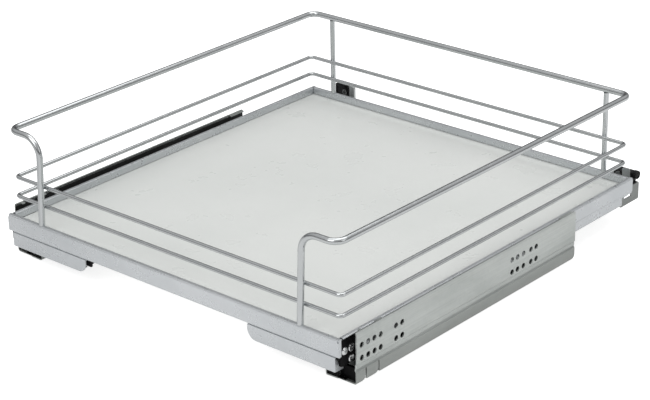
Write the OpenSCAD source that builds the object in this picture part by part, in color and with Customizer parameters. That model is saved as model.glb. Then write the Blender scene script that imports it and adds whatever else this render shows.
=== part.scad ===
// Pull out cabinet basket: a railed tray on two undermount ball runners.
// Origin: middle of the overall box at the lowest face. X right, Y to the rear, Z up. Millimetres.

/* [Tray] */
// Outer width of the tray over its side profiles
tray_w = 545; // [430:1:560]
// Depth of the tray from the front face to the rear face
tray_d = 577; // [560:1:600]
// Height of the tray rim above the lowest face
rim_z = 60; // [58:1:62]
// Height of the front band
band_h = 22; // [18:1:26]
// Height of the side profiles
side_h = 32.2; // [30:0.1:33]
// Depth of the board's face below the rim
board_drop = 9.5; // [8:0.5:11]
// Thickness of the board
board_t = 8; // [6:1:8]
// Width of the rim's top flange
rim_w = 6.2; // [5:0.1:8]
// Sheet thickness of the tray profiles
sheet_t = 1.2; // [1:0.1:1.5]

/* [Front tabs] */
// Distance from the middle to the inner end of a tab
tab_in = 134; // [110:1:160]
// Distance from the middle to the outer end of a tab
tab_out = 266; // [250:1:268]
// Drop of a tab's lower edge below the rim
tab_drop = 41.5; // [38:0.5:44]
// Corner radius at the inner end of a tab
tab_r = 13; // [6:1:16]

/* [Railing] */
// Diameter of the top wire
top_d = 8; // [6:0.5:9]
// Diameter of the two lower wires
low_d = 5; // [4:0.5:6]
// Diameter of the rear posts
post_d = 7; // [6:0.5:8]
// Height of the top wire's centre above the rim
top_h = 112; // [90:1:150]
// Height of the middle wire's centre above the rim
mid_h = 48; // [40:1:60]
// Height of the lower wire's centre above the rim
low_h = 22.8; // [16:0.2:30]
// Distance from the middle to a front post
front_post_x = 213; // [180:1:225]
// Backward lean of the front posts in degrees
lean = 3; // [0:0.1:4]
// Distance from the middle to a rear post
rear_post_x = 230; // [180:1:240]
// Distance from the middle to the top wire's side run
top_x = 265.4; // [255:0.2:268]
// Distance from the middle to the lower wires' side runs
low_x = 265.9; // [255:0.1:268]

/* [Cabinet bracket] */
// Distance from the middle to a bracket's outer face
wall_x = 281.5; // [280.5:0.5:283]
// Front end of a bracket behind the tray's front face
wall_y0 = 19.5; // [16:0.5:24]
// Rear end of a bracket behind the tray's front face
wall_y1 = 437; // [430:1:445]
// Top of a bracket above the lowest face
wall_top = 64.6; // [60:0.1:66]
// Diameter of the fixing holes
hole_d = 7; // [5:0.1:7.5]
// Height of the lower hole row
row_lo = 31.2; // [30:0.1:34]
// Distance between the two hole rows
row_pitch = 16; // [14:1:18]

/* [Runner] */
// Distance from the middle to a runner's centre line
rail_x = 245; // [244:0.5:246]
// Full travel of the basket
travel = 530; // [400:10:540]

/* [Hidden] */
$fn = 48;

th = sheet_t;
hw = tray_w / 2;                 // half width of the tray
board_z = rim_z - board_drop;    // face of the board
band_z = rim_z - band_h;         // lower edge of the band
side_z = rim_z - side_h;         // lower edge of the side profiles
ledge_z = board_z - board_t;     // top of the board ledge
lip_x = hw - rim_w;              // inner face of the side lip
lip_gap = 0.6;                   // gap between the inner lips and the board
post_y = 4.4;                    // front post centre behind the front face
rear_y = tray_d - 3.7;           // rear post and top wire rear run
// front run of a lower wire at height h above the rim, behind the leaning posts
function low_y0(h) = round(100 * (post_y + h * tan(lean) + (top_d / 2 + low_d / 2) / cos(lean) - 0.08)) / 100;
low_y1 = rear_y - post_d / 2 - low_d / 2 + 0.08;
adj_y = tray_d + 33.2;           // rear adjuster's block
wheel_y = adj_y + 1.2;           // thumbwheel centre
wheel_z = rim_z - 11.3;
wheel_r = 5.6;
block_y = 41;                    // rear end of the corner connectors
// screws of a corner connector: Y behind the front face and Z
conn_screws = [[10.1, rim_z - 16.2], [21.2, rim_z - 15.8], [33.6, rim_z - 15.4], [21.2, rim_z - 28.8]];
y_mid = (wheel_y + wheel_r) / 2; // middle of the overall depth
// hole columns behind the front face, front group then rear group
cols = [28.5, 39.3, 50.1, 60.9, 87.9, 98.7, 306.1, 316.9, 328.9, 343.9, 354.7];
ball_d = 3;

// ---- helpers ----
function unit(v) = v / norm(v);
function perp(v) = [-v[1], v[0]];
function spin(v, a) = [v[0] * cos(a) - v[1] * sin(a), v[0] * sin(a) + v[1] * cos(a)];
// points and left normals along one bend of a sheet's centre line
function bend(p0, p1, p2, rc, n) =
    let (d1 = unit(p1 - p0), d2 = unit(p2 - p1), c = d1[0] * d2[1] - d1[1] * d2[0],
         phi = acos(max(-1, min(1, d1 * d2))), s = c > 0 ? 1 : -1,
         a = p1 - d1 * rc * tan(phi / 2), ctr = a + perp(d1) * rc * s)
    [for (i = [0:n]) let (nv = spin(perp(d1), s * phi * i / n)) [ctr - nv * rc * s, nv]];
// closed outline of a bent sheet: path of its centre line, thickness, bend radius at each inner point
function sheet(path, t, rc, n = 4) =
    let (m = len(path),
         pn = concat([[path[0], perp(unit(path[1] - path[0]))]],
                     [for (i = [1:m - 2]) for (q = bend(path[i - 1], path[i], path[i + 1], is_list(rc) ? rc[i - 1] : rc, n)) q],
                     [[path[m - 1], perp(unit(path[m - 1] - path[m - 2]))]]))
    concat([for (q = pn) q[0] + q[1] * t / 2], [for (i = [len(pn) - 1:-1:0]) pn[i][0] - pn[i][1] * t / 2]);

// section in X and Z, run from y0 to y1
module along_y(y0, y1) translate([0, y1, 0]) rotate([90, 0, 0]) linear_extrude(height = y1 - y0) children();
// section in Y and Z, run from x0 to x1
module along_x(x0, x1) translate([x0, 0, 0]) rotate([90, 0, 90]) linear_extrude(height = x1 - x0) children();
module box(a, b) translate(a) cube(b - a);
// right hand piece as drawn, left hand piece mirrored
module hand(s) if (s > 0) children(); else mirror([1, 0, 0]) children();
module at_frame() translate([0, -y_mid, 0]) children();
module rod_x(x0, x1, y, z, r) translate([x0, y, z]) rotate([0, 90, 0]) cylinder(r = r, h = x1 - x0);
module rod_y(x, y0, y1, z, r) translate([x, y0, z]) rotate([-90, 0, 0]) cylinder(r = r, h = y1 - y0);
module rod_z(x, y, z0, z1, r) translate([x, y, z0]) cylinder(r = r, h = z1 - z0);
// quarter bend of a wire in a level plane, from angle a0, about a centre
module bend_xy(c, R, r, a0) translate(c) rotate([0, 0, a0]) rotate_extrude(angle = 90) translate([R, 0]) circle(r = r);
// rounded rectangle with its own corner radii, from (x0,z0) to (x1,z1): lower left, lower right, upper right, upper left
module rrect(x0, z0, x1, z1, ra, rb, rc, rd) polygon(concat(
    [for (i = [0:6]) [x0 + ra - ra * cos(i * 15), z0 + ra - ra * sin(i * 15)]],
    [for (i = [0:6]) [x1 - rb + rb * sin(i * 15), z0 + rb - rb * cos(i * 15)]],
    [for (i = [0:6]) [x1 - rc + rc * cos(i * 15), z1 - rc + rc * sin(i * 15)]],
    [for (i = [0:6]) [x0 + rd - rd * sin(i * 15), z1 - rd + rd * cos(i * 15)]]));

// ---- tray ----
module front_profile() color("silver") at_frame() difference() {
    union() {
        // band with its top flange, inner lip and lower return
        along_x(-(hw - 0.5), hw - 0.5)
            polygon(sheet([[rim_w + 0.6 - th / 2, board_z + lip_gap], [rim_w + 0.6 - th / 2, rim_z - th / 2], [th / 2, rim_z - th / 2],
                           [th / 2, band_z + th / 2], [14, band_z + th / 2]], th, [0.9, 1.4, 1.2]));
        // returns at both ends of the band
        for (s = [-1, 1]) hand(s) translate([hw - 0.5 - th, 0, 0]) rotate([90, 0, 90])
            linear_extrude(height = th) rrect(0.6, band_z + 0.6, 5.2, rim_z - 0.6, 0.3, 2.5, 0.3, 0.3);
        // lower tabs, set back by the thickness of a joggle, with a return along the foot
        for (s = [-1, 1]) hand(s) {
            translate([0, th + 1, 0]) rotate([90, 0, 0]) linear_extrude(height = th)
                rrect(tab_in, rim_z - tab_drop, tab_out, band_z - 1.5, tab_r, 1.0, 0.1, 0.1);
            along_x(tab_in, tab_out) polygon(sheet([[th / 2 + 1, band_z - 4], [th / 2 + 1, band_z - 1.5 - th / 2], [th / 2 + 2.4, band_z - 1.5 - th / 2], [th / 2 + 2.4, band_z + 0.9]], th, 0.62, 3));
            along_x(tab_in + tab_r, tab_out)
                polygon(sheet([[th / 2 + 1, rim_z - tab_drop + 4], [th / 2 + 1, rim_z - tab_drop + th / 2], [15.2, rim_z - tab_drop + th / 2]], th, [1.2]));
            // gusset at the outer end of the foot
            along_x(tab_out - th, tab_out) polygon([[1.6, rim_z - tab_drop + 0.6], [15.1, rim_z - tab_drop + 0.6], [15.1, rim_z - tab_drop + 2],
                [2.6, rim_z - tab_drop + 15.4], [1.6, rim_z - tab_drop + 15.4]]);
        }
    }
    // the inner lip stops short of the side profiles
    for (s = [-1, 1]) hand(s) {
        box([lip_x - 0.4, 3, board_z - 1], [hw - 0.5 - th - 0.02, 20, rim_z - th - 0.02]);
        box([lip_x - 0.4, 5.3, board_z - 1], [hw + 1, 20, rim_z - th - 0.02]);
        box([lip_x - 0.4, 8.2, rim_z - 8], [hw + 1, 20, rim_z + 1]);
        // open corner where the folds meet
        box([hw - 1.9, -0.1, rim_z - 3.4], [hw + 1, 1.3, rim_z + 1]);
        rod_z(front_post_x, post_y, rim_z - 4, rim_z + 2, 1.14);
        box([tab_out, th + 1.5, band_z - 1], [hw + 1, 20, band_z + 0.58]);
        // the band's lower return stops short of the runner
        box([rail_x - 17.5, th + 2.5, band_z - 0.5], [hw - 0.5 - th - 0.02, 20, band_z + 2]);
        box([rail_x - 17.5, 5.3, band_z - 0.5], [hw + 1, 20, band_z + 2]);
    }
}
module side_profile(s) color("silver") at_frame() hand(s) difference() {
    union() {
        along_y(8.4, tray_d)
            polygon(sheet([[lip_x + th / 2, board_z + lip_gap], [lip_x + th / 2, rim_z - th / 2], [hw - th / 2, rim_z - th / 2],
                           [hw - th / 2, ledge_z + 0.2], [hw - th / 2 - 1, ledge_z - 1.4], [hw - th / 2 - 1, side_z + th / 2],
                           [hw - 11, side_z + th / 2]], th, [0.9, 1.4, 1.2, 1.2, 1.4]));
        // ledge that carries the board and stands on the drawer rail
        box([rail_x - 17, block_y + 0.4, ledge_z - th], [hw - th - 0.9, tray_d - th - 0.4, ledge_z]);
    }
    // front corner is open for the connector
    box([lip_x + th + 0.6, 0, side_z - 1], [hw + 1, block_y + 0.2, rim_z - th - 0.02]);
    box([hw - 20, 0, side_z - 1], [hw + 1, block_y + 0.2, board_z - 0.5]);
    // notch at the rear foot
    box([hw - 20, tray_d - 22, side_z - 1], [hw + 1, tray_d + 1, ledge_z - 3.4]);
    // corner slot where the inner lips meet
    box([lip_x - 1, tray_d - rim_w - 0.4, board_z - 1], [lip_x + th + 0.1, tray_d + 1, rim_z + 1]);
}
module rear_profile() color("silver") at_frame() difference() {
    union() {
        along_x(-(lip_x - 0.4), lip_x - 0.4)
            polygon(sheet([[tray_d - rim_w + th / 2, board_z + lip_gap], [tray_d - rim_w + th / 2, rim_z - th / 2], [tray_d - th / 2, rim_z - th / 2],
                           [tray_d - th / 2, rim_z - 26 + th / 2], [tray_d - 9, rim_z - 26 + th / 2]], th, [0.9, 1.4, 1.2]));
        // rear ledge between the side ledges
        box([-(rail_x - 17.5), tray_d - 16, ledge_z - th], [rail_x - 17.5, tray_d - th + 0.01, ledge_z]);
        // end tabs against the side webs
        for (s = [-1, 1]) hand(s) box([lip_x - 1, tray_d - th, ledge_z], [hw - th - 0.02, tray_d, rim_z - 2.2]);
    }
    for (s = [-1, 1]) hand(s) {
        rod_z(rear_post_x, rear_y, rim_z - 4, rim_z + 2, 1.14);
        // slot for the rear hook
        box([rail_x - 28.1, tray_d - 3, rim_z - 24.75], [rail_x - 18.9, tray_d + 1, rim_z - 18.8]);
        // notch over the drawer rail
        box([rail_x - 13.6, tray_d - 12, rim_z - 27], [rail_x + 13.6, tray_d + 1, ledge_z - th + 0.2]);
    }
}
module base_board() color("white") at_frame() difference() {
    box([-(hw - th - 1.2), 1.8, ledge_z], [hw - th - 1.2, tray_d - th - 0.4, board_z]);
    for (s = [-1, 1]) hand(s) box([lip_x - 0.2, 0, ledge_z - 1], [hw, block_y + 0.4, board_z + 1]);
}
module corner_connector(s) color([0.06, 0.06, 0.065]) at_frame() hand(s) difference() {
    union() {
        box([lip_x + th + 0.1, 5.4, rim_z - 34.4], [hw - 0.6, block_y, rim_z - th - 0.05]);
        box([lip_x - 0.1, 8.4, rim_z - 34.4], [lip_x + th + 0.1, block_y, board_z - 0.05]);
        // nose that fills the end of the band
        box([lip_x + 1, 2, ledge_z - 3], [hw - 0.5 - th - 0.05, 5.4, rim_z - th - 0.6]);
    }
    for (p = conn_screws) rod_x(lip_x - 1, hw + 1, p[0], p[1], 2);
    // ribs
    for (i = [0:9]) box([hw - 1, 7 + i * 3.4, rim_z - 9.4], [hw, 8.2 + i * 3.4, rim_z - 1.2]);
    for (i = [0:3]) box([hw - 1, 27.6 + i * 3.4, rim_z - 33], [hw, 28.8 + i * 3.4, rim_z - 21.5]);
}
module pan_screw_x(y, z, r) {
    rod_x(lip_x + 0.5, hw - 0.55, y, z, 2);
    translate([hw - 0.6, y, z]) rotate([0, 90, 0]) difference() {
        union() {
            cylinder(r = r, h = 0.9);
            translate([0, 0, 0.9]) cylinder(r1 = r, r2 = r - 1, h = 0.7);
        }
        for (a = [0, 90]) rotate([0, 0, a]) translate([-2.2, -0.45, 0.7]) cube([4.4, 0.9, 2]);
    }
}
module corner_screws() color("gainsboro") at_frame() for (s = [-1, 1]) hand(s)
    for (p = conn_screws) pan_screw_x(p[0], p[1], 4.8);

// ---- railing ----
Rb = 24;      // bend from the front run down into a post
Rf = 14;      // level bends of the top wire at the front
Rc = 12.5;    // level bends of the top wire at the rear
Rl = 6;       // level bends of the lower wires
module railing_top() color("lightgray") at_frame() {
    zt = rim_z + top_h; zb = zt - Rb; yf = round(100 * (post_y + (top_h - Rb - 0.5) * tan(lean))) / 100; r = top_d / 2; y1 = rear_y;
    for (s = [-1, 1]) hand(s) {
            // leaning front post, cut level at the foot, with a short collar where it meets the bend
            difference() {
                translate([front_post_x, post_y, rim_z]) rotate([-lean, 0, 0]) translate([0, 0, -1]) cylinder(r = r, h = (top_h - Rb - 0.5) / cos(lean) + 1);
                box([front_post_x - 9, -9, rim_z - 9], [front_post_x + 9, 18, rim_z]);
            }
            rod_z(front_post_x, yf, zb - 1, zb + 0.4, r + 0.05);
            // spigot riveted through the flange
            rod_z(front_post_x, post_y, rim_z - th - 1.4, rim_z + 0.5, 1.1);
            translate([front_post_x + Rb, yf, zb]) rotate([90, 0, 0]) rotate([0, 0, 90]) rotate_extrude(angle = 90) translate([Rb, 0]) circle(r = r);
            rod_x(front_post_x + Rb, top_x - Rf, yf, zt, r);
            bend_xy([top_x - Rf, yf + Rf, zt], Rf, r, -90);
            rod_y(top_x, yf + Rf, y1 - Rc, zt, r);
            bend_xy([top_x - Rc, y1 - Rc, zt], Rc, r, 0);
            rod_x(0, top_x - Rc, y1, zt, r);
    }
}
module wire_loop(w2, y0, y1, R, r, z) for (s = [-1, 1]) hand(s) {
    rod_x(0, w2 - R, y0, z, r);
    bend_xy([w2 - R, y0 + R, z], R, r, -90);
    rod_y(w2, y0 + R, y1 - R, z, r);
    bend_xy([w2 - R, y1 - R, z], R, r, 0);
    rod_x(0, w2 - R, y1, z, r);
}
module railing_middle() color("lightgray") at_frame() wire_loop(low_x, low_y0(mid_h), low_y1, Rl, low_d / 2, rim_z + mid_h);
module railing_lower() color("lightgray") at_frame() wire_loop(low_x, low_y0(low_h), low_y1, Rl, low_d / 2, rim_z + low_h);
module rear_post(s) color("lightgray") at_frame() hand(s) {
    rod_z(rear_post_x, rear_y, rim_z, rim_z + top_h - top_d / 2 + 0.12, post_d / 2);
    // spigot riveted through the flange
    rod_z(rear_post_x, rear_y, rim_z - th - 1.4, rim_z, 1.1);
}

// ---- runner: drawer rail with its front and rear fittings ----
rail_top = ledge_z - th;         // top of the drawer rail, under the side ledge
rail_bot = 20;
rt = 1.5;                        // sheet of the rails
function cx(x) = rail_x + x;
module drawer_rail(s) color([0.66, 0.68, 0.67]) at_frame() hand(s) difference() {
    union() {
        along_y(6, tray_d + 20)
            polygon(sheet([[cx(4), rail_bot + rt / 2], [cx(13 - rt / 2), rail_bot + rt / 2], [cx(13 - rt / 2), rail_top - rt / 2],
                           [cx(-13 + rt / 2), rail_top - rt / 2], [cx(-13 + rt / 2), rail_bot + rt / 2], [cx(-4), rail_bot + rt / 2]], rt, 1.6));
        // strip along the outer leg that ends in the plate under the adjuster
        along_x(cx(13) - rt, cx(13)) polygon([[tray_d - 5, 17.4], [tray_d - 3, 15.4], [tray_d + 36.4, 15.4], [tray_d + 37.6, 16.6], [tray_d + 37.6, 37.4],
            [tray_d + 36.4, 38.7], [tray_d + 22, 38.7], [tray_d + 20, 36.7], [tray_d + 20, 24.4], [tray_d - 5, 24.4]]);
    }
    // slot for the latch nose in the inner leg
    box([cx(-14), 8.6, lev_z - 0.6], [cx(-13) + rt + 0.1, 20.6, lev_z + 7.6]);
    // rear end cut away above the strip
    box([cx(-14), tray_d + 3.5, 24.4], [cx(14), tray_d + 19.9, rail_top + 1]);
    box([cx(-14), tray_d + 3.5, rail_bot - 1], [cx(13) - rt, tray_d + 21, rail_top + 1]);
    box([cx(11), tray_d + 19, 38.7], [cx(14), tray_d + 21, rail_top + 1]);
}
lev_z = 29;                      // underside of the release lever
module lock_housing(s) color([0.09, 0.09, 0.095]) at_frame() hand(s) difference() {
    union() {
        // body under the board, in front of the drawer rail's inner leg
        along_y(14.6, 46) rrect(152, rail_bot + 3, cx(-13) - 0.2, rail_top - 0.05, 2, 3, 1, 1);
        box([160, 16, rail_top - 1], [cx(-17.5), 45, ledge_z - 0.03]);
    }
    // pocket for the lever
    box([150, 10, lev_z - 0.9], [cx(-13) + 1, 33.9, lev_z + 7.9]);
    // pivot bore
    rod_z(205, 27, rail_bot + 1, lev_z + 11.2, 2.5);
    // screw holes
    for (x = [166, 222]) rod_z(x, 40, rail_bot, ledge_z + 1, 2.1);
    // weight saving pockets
    for (x = [172, 186]) box([x, 35.4, rail_bot + 1], [x + 10, 44.5, rail_top - 3]);
}
module lock_screws() color("gainsboro") at_frame() for (s = [-1, 1]) hand(s) for (x = [166, 222]) {
    rod_z(x, 40, rail_bot + 3, ledge_z, 1.9);
    difference() {
        rod_z(x, 40, rail_bot + 0.8, rail_bot + 3, 3.6);
        for (a = [0, 90]) translate([x, 40, rail_bot]) rotate([0, 0, a]) translate([-1.8, -0.4, 0]) cube([3.6, 0.8, 1.8]);
    }
}
module release_lever(s) color([0.07, 0.07, 0.075]) at_frame() hand(s) {
    // arm with its grip at the inner end
    difference() {
        union() {
            translate([0, 0, lev_z]) linear_extrude(height = 7) polygon(
                [[131.6, 8.6], [132.6, 7.6], [150, 7.6], [196, 18.4], [212, 21.4], [222, 17.6], [226.5, 13.4], [231.9, 12.4], [233.6, 13.6],
                 [233.6, 15.6], [231.9, 16.6], [229.6, 18.6], [222, 27], [212, 32.2], [198, 32.2], [190, 24], [150, 15.4], [134, 15.4], [131.6, 13]]);
            box([131.6, 7.6, lev_z - 3.4], [141, 10.4, lev_z + 0.1]);
        }
        for (i = [0:2]) box([131, 9.6 + i * 1.3, lev_z + 1], [132, 10.2 + i * 1.3, lev_z + 5]);
    }
    // pivot pin, moulded with the arm
    rod_z(205, 27, rail_bot + 3.6, lev_z + 10.9, 2.42);
}
// rear adjuster: block, hook that holds the tray's rear profile, thumbwheel
module tilt_housing(s) color([0.08, 0.08, 0.085]) at_frame() hand(s) difference() {
    union() {
        // front wall with rounded shoulders, tall on the left adjuster only
        along_y(adj_y - 7.6, adj_y - 2.9) rrect(cx(-18.2), rail_top + 1, cx(7.4), s < 0 ? rim_z + 1.6 : rim_z - 8, 1.5, 1, s < 0 ? 3 : 1, s < 0 ? 3 : 2);
        // lower block that carries the spindle
        along_y(adj_y - 3, adj_y + 6) rrect(cx(-18.2), rail_top + 1, cx(7.2), s < 0 ? rim_z - 6.4 : rim_z - 8, 1.5, 1, s < 0 ? 2 : 0.6, 2);
        // foot down to the plate of the drawer rail, beside the path of the intermediate rail
        box([cx(8.6), adj_y - 7.6, 25.6], [cx(13) - rt - 0.05, adj_y + 3.6, 38.6]);
        box([cx(1), adj_y - 7.6, 37], [cx(13) - rt - 0.05, adj_y + 3.6, 38.6]);
        box([cx(1), adj_y - 7.6, 38], [cx(7.2), adj_y + 6, rail_top + 3]);
        // shoulder below the top of the front wall
        if (s < 0) along_y(adj_y - 8.4, adj_y - 7.5) polygon([[cx(-17), rim_z - 3.2], [cx(-9), rim_z + 0.6], [cx(-9), rim_z - 0.8], [cx(-17), rim_z - 4.6]]);
    }
    // bore for the spindle
    rod_x(cx(-17), cx(8), wheel_y, wheel_z, 2.1);
    // pocket in the rear face
    box([cx(-15), adj_y + 4, rail_top + 4], [cx(5), adj_y + 7, rim_z - 9]);
    // recess and hole of the clamping screw
    if (s < 0) translate([cx(-11), adj_y - 9, rim_z - 8.8]) rotate([-90, 0, 0]) cylinder(r = 5.1, h = 2.2);
    translate([cx(-11), adj_y - 8, s < 0 ? rim_z - 8.8 : rim_z - 12.9]) rotate([-90, 0, 0]) cylinder(r = 1.6, h = 4.6);
    // recess beside it
    if (s < 0) box([cx(-0.6), adj_y - 8, rim_z - 13], [cx(5.4), adj_y - 6.4, rim_z - 3]);
}
module tilt_screws() color("gainsboro") at_frame() for (s = [-1, 1]) hand(s)
    translate([cx(-11), s < 0 ? adj_y - 8.8 : adj_y - 9.65, s < 0 ? rim_z - 8.8 : rim_z - 12.9]) rotate([-90, 0, 0]) {
        translate([0, 0, 1.9]) cylinder(r = 1.5, h = 3.3);
        // ring head with a deep socket
        difference() {
            cylinder(r = 4.4, h = 2);
            translate([0, 0, -1]) cylinder(r = 2.7, h = 2.4);
        }
    }
module tilt_hook(s) color([0.72, 0.73, 0.72]) at_frame() hand(s) {
    // slider beside the block, with a rounded upper corner; only the left one rises above the rim
    along_y(adj_y - 7.2, adj_y - 3.4) rrect(cx(-27.5), rim_z - 24.4, cx(-18.7), s < 0 ? rim_z + 1.8 : rim_z - 12, 0.3, 0.3, 0.5, 4);
    // arm that reaches forward through the slot of the rear profile
    box([cx(-27), tray_d - 4, rim_z - 24.4], [cx(-20), adj_y - 7.1, rim_z - 22.9]);
    // the right hook carries a plate in front of its housing, above the path of the intermediate rail
    if (s > 0) {
        box([cx(-27), adj_y - 9.4, rim_z - 23.2], [cx(6.4), adj_y - 7.9, rim_z - 21]);
        along_y(adj_y - 9.4, adj_y - 7.9) rrect(cx(-4.6), rim_z - 23.2, cx(7), rim_z - 1.4, 0.3, 0.3, 1, 2.5);
    }
}
module tilt_wheel(s) color([0.05, 0.05, 0.055]) at_frame() hand(s) {
    translate([cx(7.6), wheel_y, wheel_z]) rotate([0, 90, 0]) difference() {
        cylinder(r = wheel_r, h = 5.6);
        for (i = [0:17]) rotate([0, 0, i * 20]) translate([wheel_r + 0.35, 0, -1]) cylinder(r = 0.85, h = 8, $fn = 16);
        translate([0, 0, 4.5]) cylinder(r = 4.4, h = 2);
    }
    // spindle and the slotted hub
    rod_x(cx(-16.4), cx(7.7), wheel_y, wheel_z, 2);
    translate([cx(12), wheel_y, wheel_z]) rotate([0, 90, 0]) difference() {
        cylinder(r = 2.6, h = 0.9);
        translate([-3, -0.5, 0.3]) cube([6, 1, 1]);
    }
}

// ---- runner: intermediate member, cages and balls ----
int_y0 = 25;
int_y1 = 425;
// heads and web of the intermediate member, about the runner's centre line
module int_section() {
    polygon([[cx(-7.9), 25.1], [cx(7.9), 25.1], [cx(7.9), 36.2], [cx(-7.9), 36.2]]);
}
module intermediate_rail(s) color([0.66, 0.68, 0.67]) at_frame() hand(s) {
    difference() {
        union() {
            along_y(int_y0, int_y1) rrect(cx(-7.9), 25.1, cx(7.9), 36.2, 1.2, 1.2, 1.2, 1.2);
            along_y(int_y0, int_y1) rrect(cx(-4.2), 5.1, cx(4.2), 10.9, 0.8, 0.8, 0.8, 0.8);
            box([cx(-1.2), int_y0, 10], [cx(1.2), int_y1, 26]);
        }
        box([cx(-6.4), int_y0 - 1, 26.6], [cx(6.4), int_y1 + 1, 34.7]);
        box([cx(-2.7), int_y0 - 1, 6.6], [cx(2.7), int_y1 + 1, 9.4]);
    }
}
module intermediate_bumper(s) color([0.05, 0.05, 0.055]) at_frame() hand(s) {
    // plugs in the two hollow heads, with a face that wipes the tracks
    box([cx(-6.3), int_y0, 26.7], [cx(6.3), int_y0 + 16, 34.6]);
    box([cx(-2.6), int_y0, 6.7], [cx(2.6), int_y0 + 16, 9.3]);
    difference() {
        union() {
            along_y(int_y0 - 4, int_y0) rrect(cx(-11), 22, cx(11), 39.3, 1.5, 1.5, 1.5, 1.5);
            along_y(int_y0 - 4, int_y0) rrect(cx(-7.3), 3.4, cx(7.3), 14, 1, 1, 1, 1);
            box([cx(-2.2), int_y0 - 4, 13.9], [cx(2.2), int_y0, 22.1]);
        }
        // latch clearance
        for (x = [-8, -3, 3, 8]) rod_y(cx(x), int_y0 - 5, int_y0 - 2.8, 31, 1.4);
    }
}
// a straight row of balls along Y
module ball_row(x, z, y0, n, pitch) for (i = [0:n - 1]) translate([cx(x), y0 + i * pitch, z]) sphere(d = ball_d, $fn = 24);
low_rows = [[0, 3.3], [-6, 8], [6, 8], [-3.4, 12.7], [3.4, 12.7]];
up_rows = [[-5.2, 38.0], [5.2, 38.0], [-9.7, 30.6], [9.7, 30.6], [-6, 23.3], [6, 23.3]];
low_y = 162; low_n = 6; low_pitch = 24;   // cage that holds the lower balls
up_y = 168; up_n = 8; up_pitch = 32;      // cage that holds the upper balls
module lower_balls(s) color("gainsboro") at_frame() hand(s) for (p = low_rows) ball_row(p[0], p[1], low_y, low_n, low_pitch);
module upper_balls(s) color("gainsboro") at_frame() hand(s) for (p = up_rows) ball_row(p[0], p[1], up_y, up_n, up_pitch);
module lower_cage(s) color([0.85, 0.85, 0.8]) at_frame() hand(s) difference() {
    union() {
        // floor strip, two side strips and two top strips
        ya = low_y - 6; yb = low_y + (low_n - 1) * low_pitch + 6;
        box([cx(-6.7), ya, 2.7], [cx(6.7), yb, 3.9]);
        for (q = [-1, 1]) {
            box([cx(q * 6) - 0.6, ya, 2.7], [cx(q * 6) + 0.6, yb, 13.3]);
            box([min(cx(q * 6.6), cx(q * 2.4)), ya, 12.1], [max(cx(q * 6.6), cx(q * 2.4)), yb, 13.3]);
        }
    }
    for (i = [0:low_n - 1]) {
        rod_z(cx(0), low_y + i * low_pitch, 2, 4.5, ball_d / 2 + 0.12);
        for (q = [-1, 1]) {
            rod_x(cx(q * 6) - 1, cx(q * 6) + 1, low_y + i * low_pitch, 8, ball_d / 2 + 0.12);
            rod_z(cx(q * 3.4), low_y + i * low_pitch, 11.5, 14, ball_d / 2 + 0.12);
        }
    }
}
module upper_cage(s) color([0.85, 0.85, 0.8]) at_frame() hand(s) difference() {
    union() {
        ya = up_y - 6; yb = up_y + (up_n - 1) * up_pitch + 6;
        box([cx(-10.3), ya, 37.4], [cx(10.3), yb, 38.6]);
        for (q = [-1, 1]) {
            box([cx(q * 9.7) - 0.6, ya, 22.7], [cx(q * 9.7) + 0.6, yb, 38.6]);
            box([min(cx(q * 10.3), cx(q * 4)), ya, 22.7], [max(cx(q * 10.3), cx(q * 4)), yb, 23.9]);
        }
    }
    for (i = [0:up_n - 1]) for (q = [-1, 1]) {
        rod_z(cx(q * 5.2), up_y + i * up_pitch, 37, 39, ball_d / 2 + 0.12);
        rod_x(cx(q * 9.7) - 1, cx(q * 9.7) + 1, up_y + i * up_pitch, 30.6, ball_d / 2 + 0.12);
        rod_z(cx(q * 6), up_y + i * up_pitch, 22, 24.5, ball_d / 2 + 0.12);
    }
}

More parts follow.
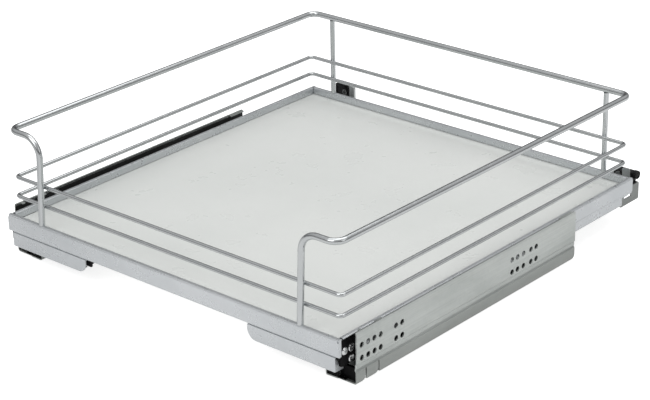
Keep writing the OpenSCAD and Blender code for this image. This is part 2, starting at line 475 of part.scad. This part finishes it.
// ---- fixed to the cabinet ----
module fixed_rail(s) color([0.66, 0.68, 0.67]) at_frame() hand(s) {
    along_y(wall_y0, wall_y1)
        polygon(sheet([[cx(2.6), 16 - rt / 2], [cx(9.3 - rt / 2), 16 - rt / 2], [cx(9.3 - rt / 2), rt / 2],
                       [cx(-9.3 + rt / 2), rt / 2], [cx(-9.3 + rt / 2), 16 - rt / 2], [cx(-2.6), 16 - rt / 2]], rt, 1.4));
    // tongue of the floor at the front
    linear_extrude(height = rt) polygon([[cx(-7.9), wall_y0 + 0.5], [cx(-7.9), wall_y0 - 0.9], [cx(-6.9), wall_y0 - 1.8],
        [cx(9.3), wall_y0 - 1.1], [cx(9.3), wall_y0 + 0.5]]);
}
module cabinet_bracket(s) color([0.66, 0.69, 0.67]) at_frame() hand(s) difference() {
    wx = wall_x - rt / 2;
    union() {
        along_y(wall_y0, wall_y1)
            polygon(sheet([[wx - 0.7, wall_top], [wx, wall_top - 3.2], [wx, 25.6], [wx - 1.1, 23.8], [wx - 1.1, 19.8], [wx - 1.9, 17.8], [wx - 0.4, 15.4], [wx - 0.4, rt / 2],
                           [cx(9.32), rt / 2]], rt, [2.2, 1, 1, 1, 1, 1.2, 2.6]));
        // inward tabs along the top edge
        for (p = [[28, 32.5], [56.9, 68], [409, wall_y1 - 2]])
            box([wx - 5.2, p[0], wall_top - 2.1], [wx - 0.3, p[1], wall_top - 0.6]);
        // tongue folded down behind the wall
        box([wx - 3.4, 56.9, 41.5], [wx - 1.9, 66, wall_top - 0.6]);
    }
    // two rows of fixing holes
    for (y = cols) for (k = [0, 1]) rod_x(wall_x - (k == 1 && abs(y - 60.9) < 1 ? rt + 0.6 : 4), wall_x + 2, y, row_lo + k * row_pitch, hole_d / 2);
    // window in the base behind the lobes
    box([cx(22), 28, -1], [wx - 3.4, 54, rt + 0.2]);
    // slits and rounded lobes at the front of the lower edge
    for (y = [35, 57.2]) {
        box([wall_x - 12, y, -1], [wall_x + 1, y + 1.6, 15.6]);
        along_x(wall_x - 12, wall_x + 1) {
            difference() {
                translate([y - 9, -1]) square([9.1, 10]);
                translate([y - 9, 9]) circle(r = 9);
            }
            difference() {
                translate([y + 1.5, -1]) square([4.1, 5]);
                translate([y + 5.6, 4]) circle(r = 4);
            }
        }
    }
    // rounded foot at the rear end
    along_x(wall_x - 12, wall_x + 1) difference() {
        translate([wall_y1 - 8, -1]) square([9, 9]);
        translate([wall_y1 - 8, 8]) circle(r = 8);
    }
    // rounded top corners
    along_x(wall_x - 8, wall_x + 1) difference() {
        translate([wall_y1 - 2, wall_top - 2]) square([3, 3]);
        translate([wall_y1 - 2, wall_top - 2]) circle(r = 2);
    }
}
// black liner over the front of the base: tongue strip, cover of the rail's outer leg, and a plug beside the rail
module rail_front_cap(s) color([0.05, 0.05, 0.055]) at_frame() hand(s) {
    box([cx(-6.8), wall_y0 - 0.95, rt + 0.01], [cx(20), wall_y0 - 0.05, rt + 1.2]);
    box([cx(7.8), wall_y0 - 0.95, rt + 0.01], [cx(10.4), wall_y0 - 0.05, 17.5]);
    box([cx(9.3) + 0.05, wall_y0 - 0.5, rt + 0.01], [cx(20), wall_y0 + 6, rt + 1.2]);
    box([cx(9.3) + 0.05, wall_y0 + 4, rt + 0.01], [wall_x - rt - 3.8, wall_y0 + 8, 17.5]);
}

front_profile();
side_profile(-1);  // side_profile_left
side_profile(1);  // side_profile_right
rear_profile();
base_board();
corner_connector(-1);  // corner_connector_left
corner_connector(1);  // corner_connector_right
corner_screws();
railing_top();
railing_middle();
railing_lower();
rear_post(-1);  // rear_post_left
rear_post(1);  // rear_post_right
drawer_rail(-1);  // drawer_rail_left
drawer_rail(1);  // drawer_rail_right
lock_housing(-1);  // lock_housing_left
lock_housing(1);  // lock_housing_right
lock_screws();
release_lever(-1);  // release_lever_left
release_lever(1);  // release_lever_right
tilt_housing(-1);  // tilt_housing_left
tilt_housing(1);  // tilt_housing_right
tilt_screws();
tilt_hook(-1);  // tilt_hook_left
tilt_hook(1);  // tilt_hook_right
tilt_wheel(-1);  // tilt_wheel_left
tilt_wheel(1);  // tilt_wheel_right
intermediate_rail(-1);  // intermediate_rail_left
intermediate_rail(1);  // intermediate_rail_right
intermediate_bumper(-1);  // intermediate_bumper_left
intermediate_bumper(1);  // intermediate_bumper_right
lower_cage(-1);  // lower_cage_left
lower_cage(1);  // lower_cage_right
upper_cage(-1);  // upper_cage_left
upper_cage(1);  // upper_cage_right
lower_balls(-1);  // lower_balls_left
lower_balls(1);  // lower_balls_right
upper_balls(-1);  // upper_balls_left
upper_balls(1);  // upper_balls_right
cabinet_bracket(-1);  // cabinet_bracket_left
cabinet_bracket(1);  // cabinet_bracket_right
fixed_rail(-1);  // fixed_rail_left
fixed_rail(1);  // fixed_rail_right
rail_front_cap(-1);  // rail_front_cap_left
rail_front_cap(1);  // rail_front_cap_right
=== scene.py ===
import bpy, bmesh, math
from mathutils import Vector, Matrix

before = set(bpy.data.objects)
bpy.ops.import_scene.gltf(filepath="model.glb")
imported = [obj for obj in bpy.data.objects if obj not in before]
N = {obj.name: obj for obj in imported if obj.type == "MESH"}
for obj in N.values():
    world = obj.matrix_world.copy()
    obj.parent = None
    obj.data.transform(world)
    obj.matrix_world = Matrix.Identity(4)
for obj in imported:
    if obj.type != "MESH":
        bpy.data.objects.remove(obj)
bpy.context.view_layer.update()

# the row frame's origin lies this far behind the tray's front face, and the tray's rim lies this far above it
Y_MID, RIM = 0.3085, 0.060


def P(x, y, z):
    """A point given in mm from the tray's front face (y to the rear) and the lowest face (z up)."""
    return Vector((x / 1000, y / 1000 - Y_MID, z / 1000))


# ------------------------------------------------------------------ materials
class Graph:
    """A small helper that adds and links shader nodes."""

    def __init__(self, name):
        self.m = bpy.data.materials.new(name)
        self.m.use_nodes = True
        self.t = self.m.node_tree
        self.b = self.t.nodes["Principled BSDF"]
        self.co = self.t.nodes.new("ShaderNodeTexCoord").outputs["Object"]

    def node(self, kind, **kw):
        n = self.t.nodes.new(kind)
        for k, v in kw.items():
            setattr(n, k, v)
        return n

    def link(self, a, b):
        self.t.links.new(a, b)

    def mapped(self, scale, rot=(0, 0, 0)):
        n = self.node("ShaderNodeMapping")
        n.inputs["Scale"].default_value = scale
        n.inputs["Rotation"].default_value = rot
        self.link(self.co, n.inputs["Vector"])
        return n.outputs["Vector"]

    def noise(self, vec, scale, detail=3.0, rough=0.55, dist=0.0):
        n = self.node("ShaderNodeTexNoise")
        n.inputs["Scale"].default_value = scale
        n.inputs["Detail"].default_value = detail
        n.inputs["Roughness"].default_value = rough
        n.inputs["Distortion"].default_value = dist
        self.link(vec, n.inputs["Vector"])
        return n.outputs["Fac"]

    def voronoi(self, vec, scale, out="Color"):
        n = self.node("ShaderNodeTexVoronoi")
        n.inputs["Scale"].default_value = scale
        self.link(vec, n.inputs["Vector"])
        return n.outputs[out]

    def ramp(self, fac, stops):
        n = self.node("ShaderNodeValToRGB")
        e = n.color_ramp.elements
        while len(e) > 1:
            e.remove(e[-1])
        for i, (pos, col) in enumerate(stops):
            s = e[0] if i == 0 else e.new(pos)
            s.position = pos
            s.color = (*col, 1.0) if isinstance(col, tuple) else (col, col, col, 1.0)
        self.link(fac, n.inputs["Fac"])
        return n.outputs["Color"]

    def rng(self, fac, lo, hi, a=0.0, b=1.0):
        n = self.node("ShaderNodeMapRange")
        n.inputs["From Min"].default_value = a
        n.inputs["From Max"].default_value = b
        n.inputs["To Min"].default_value = lo
        n.inputs["To Max"].default_value = hi
        self.link(fac, n.inputs["Value"])
        return n.outputs["Result"]

    def math(self, op, a, b=None, v=None):
        n = self.node("ShaderNodeMath", operation=op)
        self.link(a, n.inputs[0])
        if b is not None:
            self.link(b, n.inputs[1])
        elif v is not None:
            n.inputs[1].default_value = v
        return n.outputs[0]

    def mix(self, fac, a, b, blend="MIX"):
        n = self.node("ShaderNodeMix", data_type="RGBA", blend_type=blend)
        if isinstance(fac, float):
            n.inputs["Factor"].default_value = fac
        else:
            self.link(fac, n.inputs["Factor"])
        for sock, v in ((n.inputs["A"], a), (n.inputs["B"], b)):
            if isinstance(v, tuple):
                sock.default_value = (*v, 1.0)
            else:
                self.link(v, sock)
        return n.outputs["Result"]

    def bump(self, height, strength, dist, prev=None):
        n = self.node("ShaderNodeBump")
        n.inputs["Strength"].default_value = strength
        n.inputs["Distance"].default_value = dist
        self.link(height, n.inputs["Height"])
        if prev is not None:
            self.link(prev, n.inputs["Normal"])
        return n.outputs["Normal"]

    def done(self, color=None, rough=None, normal=None, **const):
        if color is not None:
            self.link(color, self.b.inputs["Base Color"])
        if rough is not None:
            self.link(rough, self.b.inputs["Roughness"])
        if normal is not None:
            self.link(normal, self.b.inputs["Normal"])
        for k, v in const.items():
            self.b.inputs[k.replace("_", " ")].default_value = v
        return self.m


def silver_paint(name="silver_paint", lo=(0.54, 0.565, 0.58), hi=(0.62, 0.64, 0.655), metal=0.65, r0=0.24, r1=0.34):
    """Silver lacquer on sheet steel: fine flake, faint cloudiness, soft orange peel."""
    g = Graph(name)
    flake = g.voronoi(g.mapped((1, 1, 1)), 520)
    grey = g.node("ShaderNodeRGBToBW")
    g.link(flake, grey.inputs["Color"])
    cloud = g.noise(g.co, 9.0, 4.0)
    col = g.ramp(g.rng(cloud, 0.0, 1.0, 0.3, 0.7), [(0.0, lo), (1.0, hi)])
    col = g.mix(0.03, col, g.ramp(grey.outputs["Val"], [(0.0, tuple(c * 0.72 for c in lo)), (1.0, tuple(min(1, c * 1.3) for c in hi))]))
    rough = g.rng(g.noise(g.co, 60.0, 3.0), r0, r1, 0.3, 0.7)
    nrm = g.bump(g.noise(g.co, 70.0, 2.0), 0.02, 0.0002)
    return g.done(col, rough, nrm, Metallic=metal)


def galvanised(name="galvanised", lo=(0.40, 0.425, 0.41), hi=(0.60, 0.625, 0.605), r0=0.30, r1=0.46, metal=0.8, foot=0.0, inner=0.0):
    """Zinc plated strip: rolling lines along the runner, mild cloudiness, faint spangle and scuffs."""
    g = Graph(name)
    lines = g.noise(g.mapped((260, 2.2, 900)), 1.0, 4.0, 0.6)
    cloud = g.noise(g.mapped((16, 7, 26)), 1.0, 5.0, 0.6, 0.4)
    spangle = g.node("ShaderNodeRGBToBW")
    g.link(g.voronoi(g.mapped((1, 1, 1)), 240), spangle.inputs["Color"])
    f = g.math("ADD", g.rng(cloud, 0.0, 0.7, 0.3, 0.7), g.rng(lines, -0.18, 0.3, 0.3, 0.7))
    f = g.math("ADD", f, g.rng(spangle.outputs["Val"], -0.07, 0.07))
    col = g.ramp(f, [(0.0, lo), (1.0, hi)])
    scuff = g.noise(g.mapped((90, 25, 300), (0.3, 0.2, 0.1)), 1.0, 6.0, 0.7, 1.0)
    col = g.mix(g.rng(scuff, 0.0, 0.5, 0.60, 0.78), col, (0.62, 0.635, 0.61))
    if foot:
        # the rolled foot strip below the crease is coloured darker
        sep = g.node("ShaderNodeSeparateXYZ")
        g.link(g.co, sep.inputs[0])
        low = g.rng(sep.outputs["Z"], foot, 0.0, 0.0150, 0.0165)
        col = g.mix(low, col, (0.16, 0.165, 0.155))
    if inner:
        # painted shade: near-black, non-metallic colour on the wall's inner face, below the bent top edge, standing in
        # for the shade in the gap between the wall and the tray
        geo = g.node("ShaderNodeNewGeometry")
        ns = g.node("ShaderNodeSeparateXYZ")
        g.link(geo.outputs["Normal"], ns.inputs[0])
        ps = g.node("ShaderNodeSeparateXYZ")
        g.link(g.co, ps.inputs[0])
        toward = g.math("MULTIPLY", ns.outputs["X"], g.math("SIGN", ps.outputs["X"]))
        face = g.rng(toward, inner, 0.0, -0.9, -0.6)
        above = g.rng(ps.outputs["Z"], 0.0, 1.0, 0.024, 0.026)
        face = g.math("MULTIPLY", face, above)
        face = g.math("MULTIPLY", face, g.rng(ps.outputs["Z"], 1.0, 0.0, 0.0612, 0.0616))
        col = g.mix(face, col, (0.012, 0.012, 0.012))
        g.link(g.rng(face, metal, 0.0), g.b.inputs["Metallic"])
    rough = g.rng(g.math("ADD", cloud, lines), r0, r1, 0.7, 1.3)
    nrm = g.bump(lines, 0.10, 0.0002)
    nrm = g.bump(cloud, 0.06, 0.0006, nrm)
    return g.done(col, rough, nrm, Metallic=metal)


def chrome_wire():
    """Plated drawn wire: smooth satin reflections, faint fog and tiny pits in the colour and the gloss."""
    g = Graph("chrome_wire")
    fog = g.noise(g.co, 22.0, 3.0)
    pits = g.voronoi(g.co, 420, "Distance")
    col = g.ramp(g.rng(fog, 0.0, 1.0, 0.3, 0.7), [(0.0, (0.50, 0.52, 0.525)), (1.0, (0.56, 0.575, 0.58))])
    col = g.mix(g.rng(pits, 0.10, 0.0, 0.0, 0.12), col, (0.30, 0.31, 0.32))
    rough = g.rng(g.noise(g.co, 90.0, 3.0), 0.17, 0.25, 0.3, 0.7)
    return g.done(col, rough, None, Metallic=1.0)


def white_board():
    """Melamine faced board: off white, faintly mottled, with a fine pearl texture."""
    g = Graph("white_board")
    mott = g.noise(g.co, 5.0, 5.0)
    fine = g.noise(g.co, 110.0, 3.0, 0.7)
    col = g.ramp(g.rng(mott, 0.0, 1.0, 0.3, 0.7), [(0.0, (0.655, 0.675, 0.655)), (1.0, (0.700, 0.715, 0.695))])
    col = g.mix(g.rng(fine, 0.0, 0.05, 0.35, 0.7), col, (0.58, 0.595, 0.58))
    rough = g.rng(g.noise(g.co, 30.0, 3.0), 0.26, 0.36, 0.3, 0.7)
    nrm = g.bump(g.noise(g.co, 60.0, 2.0, 0.5), 0.02, 0.0001)
    return g.done(col, rough, nrm, Metallic=0.0)


def plastic(name, lo, hi, r0, r1, grain=1400, depth=0.16, spec=0.5):
    """Moulded plastic: eroded grain, slight sheen change where it is rubbed."""
    g = Graph(name)
    gr = g.noise(g.co, grain, 2.0, 0.6)
    rub = g.noise(g.co, 55.0, 4.0, 0.6)
    col = g.ramp(g.rng(rub, 0.0, 1.0, 0.3, 0.7), [(0.0, lo), (1.0, hi)])
    rough = g.rng(rub, r0, r1, 0.3, 0.7)
    nrm = g.bump(gr, depth, 0.0002)
    nrm = g.bump(rub, 0.05, 0.0005, nrm)
    return g.done(col, rough, nrm, Metallic=0.0, Specular_IOR_Level=spec)


def bright_steel(name, lo, hi, r0, r1):
    """Small turned or cold headed steel parts."""
    g = Graph(name)
    ring = g.noise(g.mapped((900, 900, 900)), 1.0, 3.0)
    dull = g.noise(g.co, 160.0, 4.0)
    col = g.ramp(g.rng(dull, 0.0, 1.0, 0.3, 0.7), [(0.0, lo), (1.0, hi)])
    rough = g.rng(dull, r0, r1, 0.3, 0.7)
    nrm = g.bump(ring, 0.06, 0.0001)
    return g.done(col, rough, nrm, Metallic=1.0)


M = {
    "paint": silver_paint(),
    "galv": galvanised(),
    # the bracket's zinc carries painted shade on the wall's inner face, and a darker foot strip
    "bracket": galvanised("galvanised_bracket", foot=0.42, inner=0.97),
    # the drawer rail gets a darker copy of the same zinc as the other runner members
    "rail": galvanised("galvanised_rail", (0.20, 0.212, 0.205), (0.32, 0.335, 0.325), 0.34, 0.48, 0.8),
    "deep": plastic("black_connector", (0.0015, 0.0015, 0.0018), (0.004, 0.004, 0.0045), 0.42, 0.56, spec=0.10),
    "zinc": galvanised("zinc_bright", (0.42, 0.44, 0.435), (0.56, 0.58, 0.57), 0.28, 0.42, 0.8),
    "chrome": chrome_wire(),
    "board": white_board(),
    "black": plastic("black_plastic", (0.003, 0.003, 0.0034), (0.008, 0.008, 0.009), 0.36, 0.52, spec=0.22),
    "knurl": plastic("black_knurl", (0.003, 0.003, 0.0034), (0.009, 0.009, 0.010), 0.34, 0.48, 2200, 0.2, 0.25),
    "cage": plastic("natural_plastic", (0.55, 0.55, 0.50), (0.66, 0.66, 0.60), 0.34, 0.46, 1800, 0.08),
    "screw": bright_steel("screw_steel", (0.62, 0.63, 0.63), (0.80, 0.81, 0.81), 0.20, 0.34),
    "dull": bright_steel("dull_steel", (0.17, 0.175, 0.175), (0.27, 0.275, 0.275), 0.30, 0.42),
    "ball": bright_steel("ball_steel", (0.70, 0.71, 0.72), (0.80, 0.81, 0.82), 0.08, 0.14),
}


def which(n):
    if n.startswith(("front_profile", "side_profile", "rear_profile")):
        return "paint"
    if n == "base_board":
        return "board"
    if n.startswith(("railing", "rear_post")):
        return "chrome"
    if n.startswith("tilt_hook"):
        return "zinc"
    if n.startswith("cabinet_bracket"):
        return "bracket"
    if n.startswith("drawer_rail"):
        return "rail"
    if n.startswith(("intermediate_rail", "fixed_rail")):
        return "galv"
    if n.startswith(("corner_connector", "rail_front_cap", "intermediate_bumper")):
        return "deep"
    if n.startswith("tilt_wheel"):
        return "knurl"
    if "cage" in n:
        return "cage"
    if "balls" in n:
        return "ball"
    if n == "tilt_screws":
        return "dull"
    if "screws" in n:
        return "screw"
    return "black"


def paint_all(o, m):
    if not o.data.materials:
        o.data.materials.append(m)
    for i in range(len(o.data.materials)):
        o.data.materials[i] = m


for n, o in N.items():
    paint_all(o, M[which(n)])


# a bevel helper for a fine rolled edge, so that edges catch the light; no part is given it in this script
def edge(o, w, seg=2, ang=35):
    b = o.modifiers.new("edge", "BEVEL")
    b.width = w
    b.segments = seg
    b.limit_method = "ANGLE"
    b.angle_limit = math.radians(ang)
    b.use_clamp_overlap = True
    b.harden_normals = False


# ------------------------------------------------------------------ light, floor, camera
def area(name, loc, aim, size, power, col=(1, 1, 1), size_y=None):
    d = bpy.data.lights.new(name, "AREA")
    d.shape = "RECTANGLE" if size_y else "SQUARE"
    d.size = size
    if size_y:
        d.size_y = size_y
    d.energy = power
    d.color = col
    o = bpy.data.objects.new(name, d)
    o.location = loc
    o.rotation_mode = "QUATERNION"
    o.rotation_quaternion = (Vector(aim) - Vector(loc)).to_track_quat("-Z", "Y")
    bpy.context.scene.collection.objects.link(o)
    return o


def floor():
    me = bpy.data.meshes.new("floor")
    bm = bmesh.new()
    n, s = 8, 30.0
    vs = [[bm.verts.new((-s + 2 * s * i / n, -s + 2 * s * j / n, -0.0006)) for j in range(n + 1)] for i in range(n + 1)]
    for i in range(n):
        for j in range(n):
            bm.faces.new((vs[i][j], vs[i + 1][j], vs[i + 1][j + 1], vs[i][j + 1]))
    bm.to_mesh(me)
    bm.free()
    o = bpy.data.objects.new("floor", me)
    bpy.context.scene.collection.objects.link(o)
    m = bpy.data.materials.new("floor_white")
    m.use_nodes = True
    t = m.node_tree
    b = t.nodes["Principled BSDF"]
    b.inputs["Base Color"].default_value = (0.62, 0.62, 0.62, 1)
    b.inputs["Roughness"].default_value = 0.9
    b.inputs["Specular IOR Level"].default_value = 0.0
    b.inputs["Emission Color"].default_value = (1, 1, 1, 1)
    lp = t.nodes.new("ShaderNodeLightPath")
    mr = t.nodes.new("ShaderNodeMapRange")
    mr.inputs["To Min"].default_value = FLOOR_GLOW
    mr.inputs["To Max"].default_value = 0.80
    t.links.new(lp.outputs["Is Camera Ray"], mr.inputs["Value"])
    # the floor is dimmer to the left, away from the soft panels
    co = t.nodes.new("ShaderNodeTexCoord")
    sp = t.nodes.new("ShaderNodeSeparateXYZ")
    t.links.new(co.outputs["Object"], sp.inputs[0])
    dim = t.nodes.new("ShaderNodeMapRange")
    dim.inputs["From Min"].default_value = -0.36
    dim.inputs["From Max"].default_value = -0.12
    dim.inputs["To Min"].default_value = FLOOR_GLOW * 0.40
    dim.inputs["To Max"].default_value = FLOOR_GLOW
    t.links.new(sp.outputs["X"], dim.inputs["Value"])
    t.links.new(dim.outputs["Result"], mr.inputs["To Min"])
    t.links.new(mr.outputs["Result"], b.inputs["Emission Strength"])
    me.materials.append(m)
    return o


FLOOR_GLOW = 0.28
floor()

# azimuth from -180 to 180 degrees as 0 to 1, and the light there
GAPS = ((0.40, 1.0), (0.46, 0.25), (0.50, 0.25), (0.54, 1.0), (0.77, 1.0), (0.82, 0.35), (0.91, 0.35), (0.96, 1.0))
w = bpy.data.worlds.new("studio")
bpy.context.scene.world = w
w.use_nodes = True
wt = w.node_tree
bg = wt.nodes["Background"]
tc = wt.nodes.new("ShaderNodeTexCoord")
sep = wt.nodes.new("ShaderNodeSeparateXYZ")
wt.links.new(tc.outputs["Generated"], sep.inputs[0])
wr = wt.nodes.new("ShaderNodeValToRGB")
els = wr.color_ramp.elements
els[0].position, els[0].color = 0.0, (0.16, 0.163, 0.168, 1)
els[1].position, els[1].color = 1.0, (0.78, 0.78, 0.78, 1)
for pos, c in ((0.10, 0.20), (0.26, 0.40), (0.42, 0.60), (0.70, 0.74)):
    e = els.new(pos)
    e.color = (c, c, c * 1.01, 1)
wt.links.new(sep.outputs["Z"], wr.inputs["Fac"])
# the studio is darker in two gaps between its soft panels, below 60 degrees of elevation
az = wt.nodes.new("ShaderNodeMath")
az.operation = "ARCTAN2"
wt.links.new(sep.outputs["Y"], az.inputs[0])
wt.links.new(sep.outputs["X"], az.inputs[1])
turn = wt.nodes.new("ShaderNodeMapRange")
turn.inputs["From Min"].default_value = -math.pi
turn.inputs["From Max"].default_value = math.pi
wt.links.new(az.outputs[0], turn.inputs["Value"])
gap = wt.nodes.new("ShaderNodeValToRGB")
ge = gap.color_ramp.elements
ge[0].position, ge[0].color = 0.0, (1, 1, 1, 1)
ge[1].position, ge[1].color = 1.0, (1, 1, 1, 1)
for pos, c in GAPS:
    e = ge.new(pos)
    e.color = (c, c, c, 1)
wt.links.new(turn.outputs["Result"], gap.inputs["Fac"])
high = wt.nodes.new("ShaderNodeMapRange")
high.inputs["From Min"].default_value = 0.48
high.inputs["From Max"].default_value = 0.75
wt.links.new(sep.outputs["Z"], high.inputs["Value"])
fade = wt.nodes.new("ShaderNodeMix")
fade.data_type = "RGBA"
wt.links.new(high.outputs["Result"], fade.inputs["Factor"])
wt.links.new(gap.outputs["Color"], fade.inputs["A"])
fade.inputs["B"].default_value = (1, 1, 1, 1)
both = wt.nodes.new("ShaderNodeMix")
both.data_type = "RGBA"
both.blend_type = "MULTIPLY"
both.inputs["Factor"].default_value = 1.0
wt.links.new(wr.outputs["Color"], both.inputs["A"])
wt.links.new(fade.outputs["Result"], both.inputs["B"])
wt.links.new(both.outputs["Result"], bg.inputs["Color"])
bg.inputs["Strength"].default_value = 0.90

area("key", (0.2, -3.0, 2.7), (0, 0, 0.05), 2.6, 44)
area("top", (0.1, 0.6, 2.8), (0, 0, 0), 2.6, 36)
area("right_fill", (2.8, 0.1, 1.3), (0, 0, 0.05), 1.4, 7)

sc = bpy.context.scene
sc.view_settings.view_transform = "Standard"
sc.view_settings.look = "None"
sc.view_settings.exposure = 0.0
sc.view_settings.gamma = 1.0

# camera solved from the photograph's straight edges
AZ, EL, ROLL, F_PX = 0.7255, 0.4141, -0.0221, 2088.72
back = Vector((math.sin(AZ) * math.cos(EL), -math.cos(AZ) * math.cos(EL), math.sin(EL)))
right = Vector((math.cos(AZ), math.sin(AZ), 0))
up = back.cross(right)
r = right * math.cos(ROLL) + up * math.sin(ROLL)
u = -right * math.sin(ROLL) + up * math.cos(ROLL)
cd = bpy.data.cameras.new("camera")
cd.sensor_fit = "HORIZONTAL"
cd.sensor_width = 36.0
cd.lens = F_PX * 36.0 / 650
cd.clip_start, cd.clip_end = 0.05, 100
cam = bpy.data.objects.new("camera", cd)
cam.matrix_world = Matrix((
    (r.x, u.x, back.x, 1.60470),
    (r.y, u.y, back.y, -1.51920 - Y_MID),
    (r.z, u.z, back.z, 1.05654 + RIM),
    (0, 0, 0, 1)))
sc.collection.objects.link(cam)
sc.camera = cam
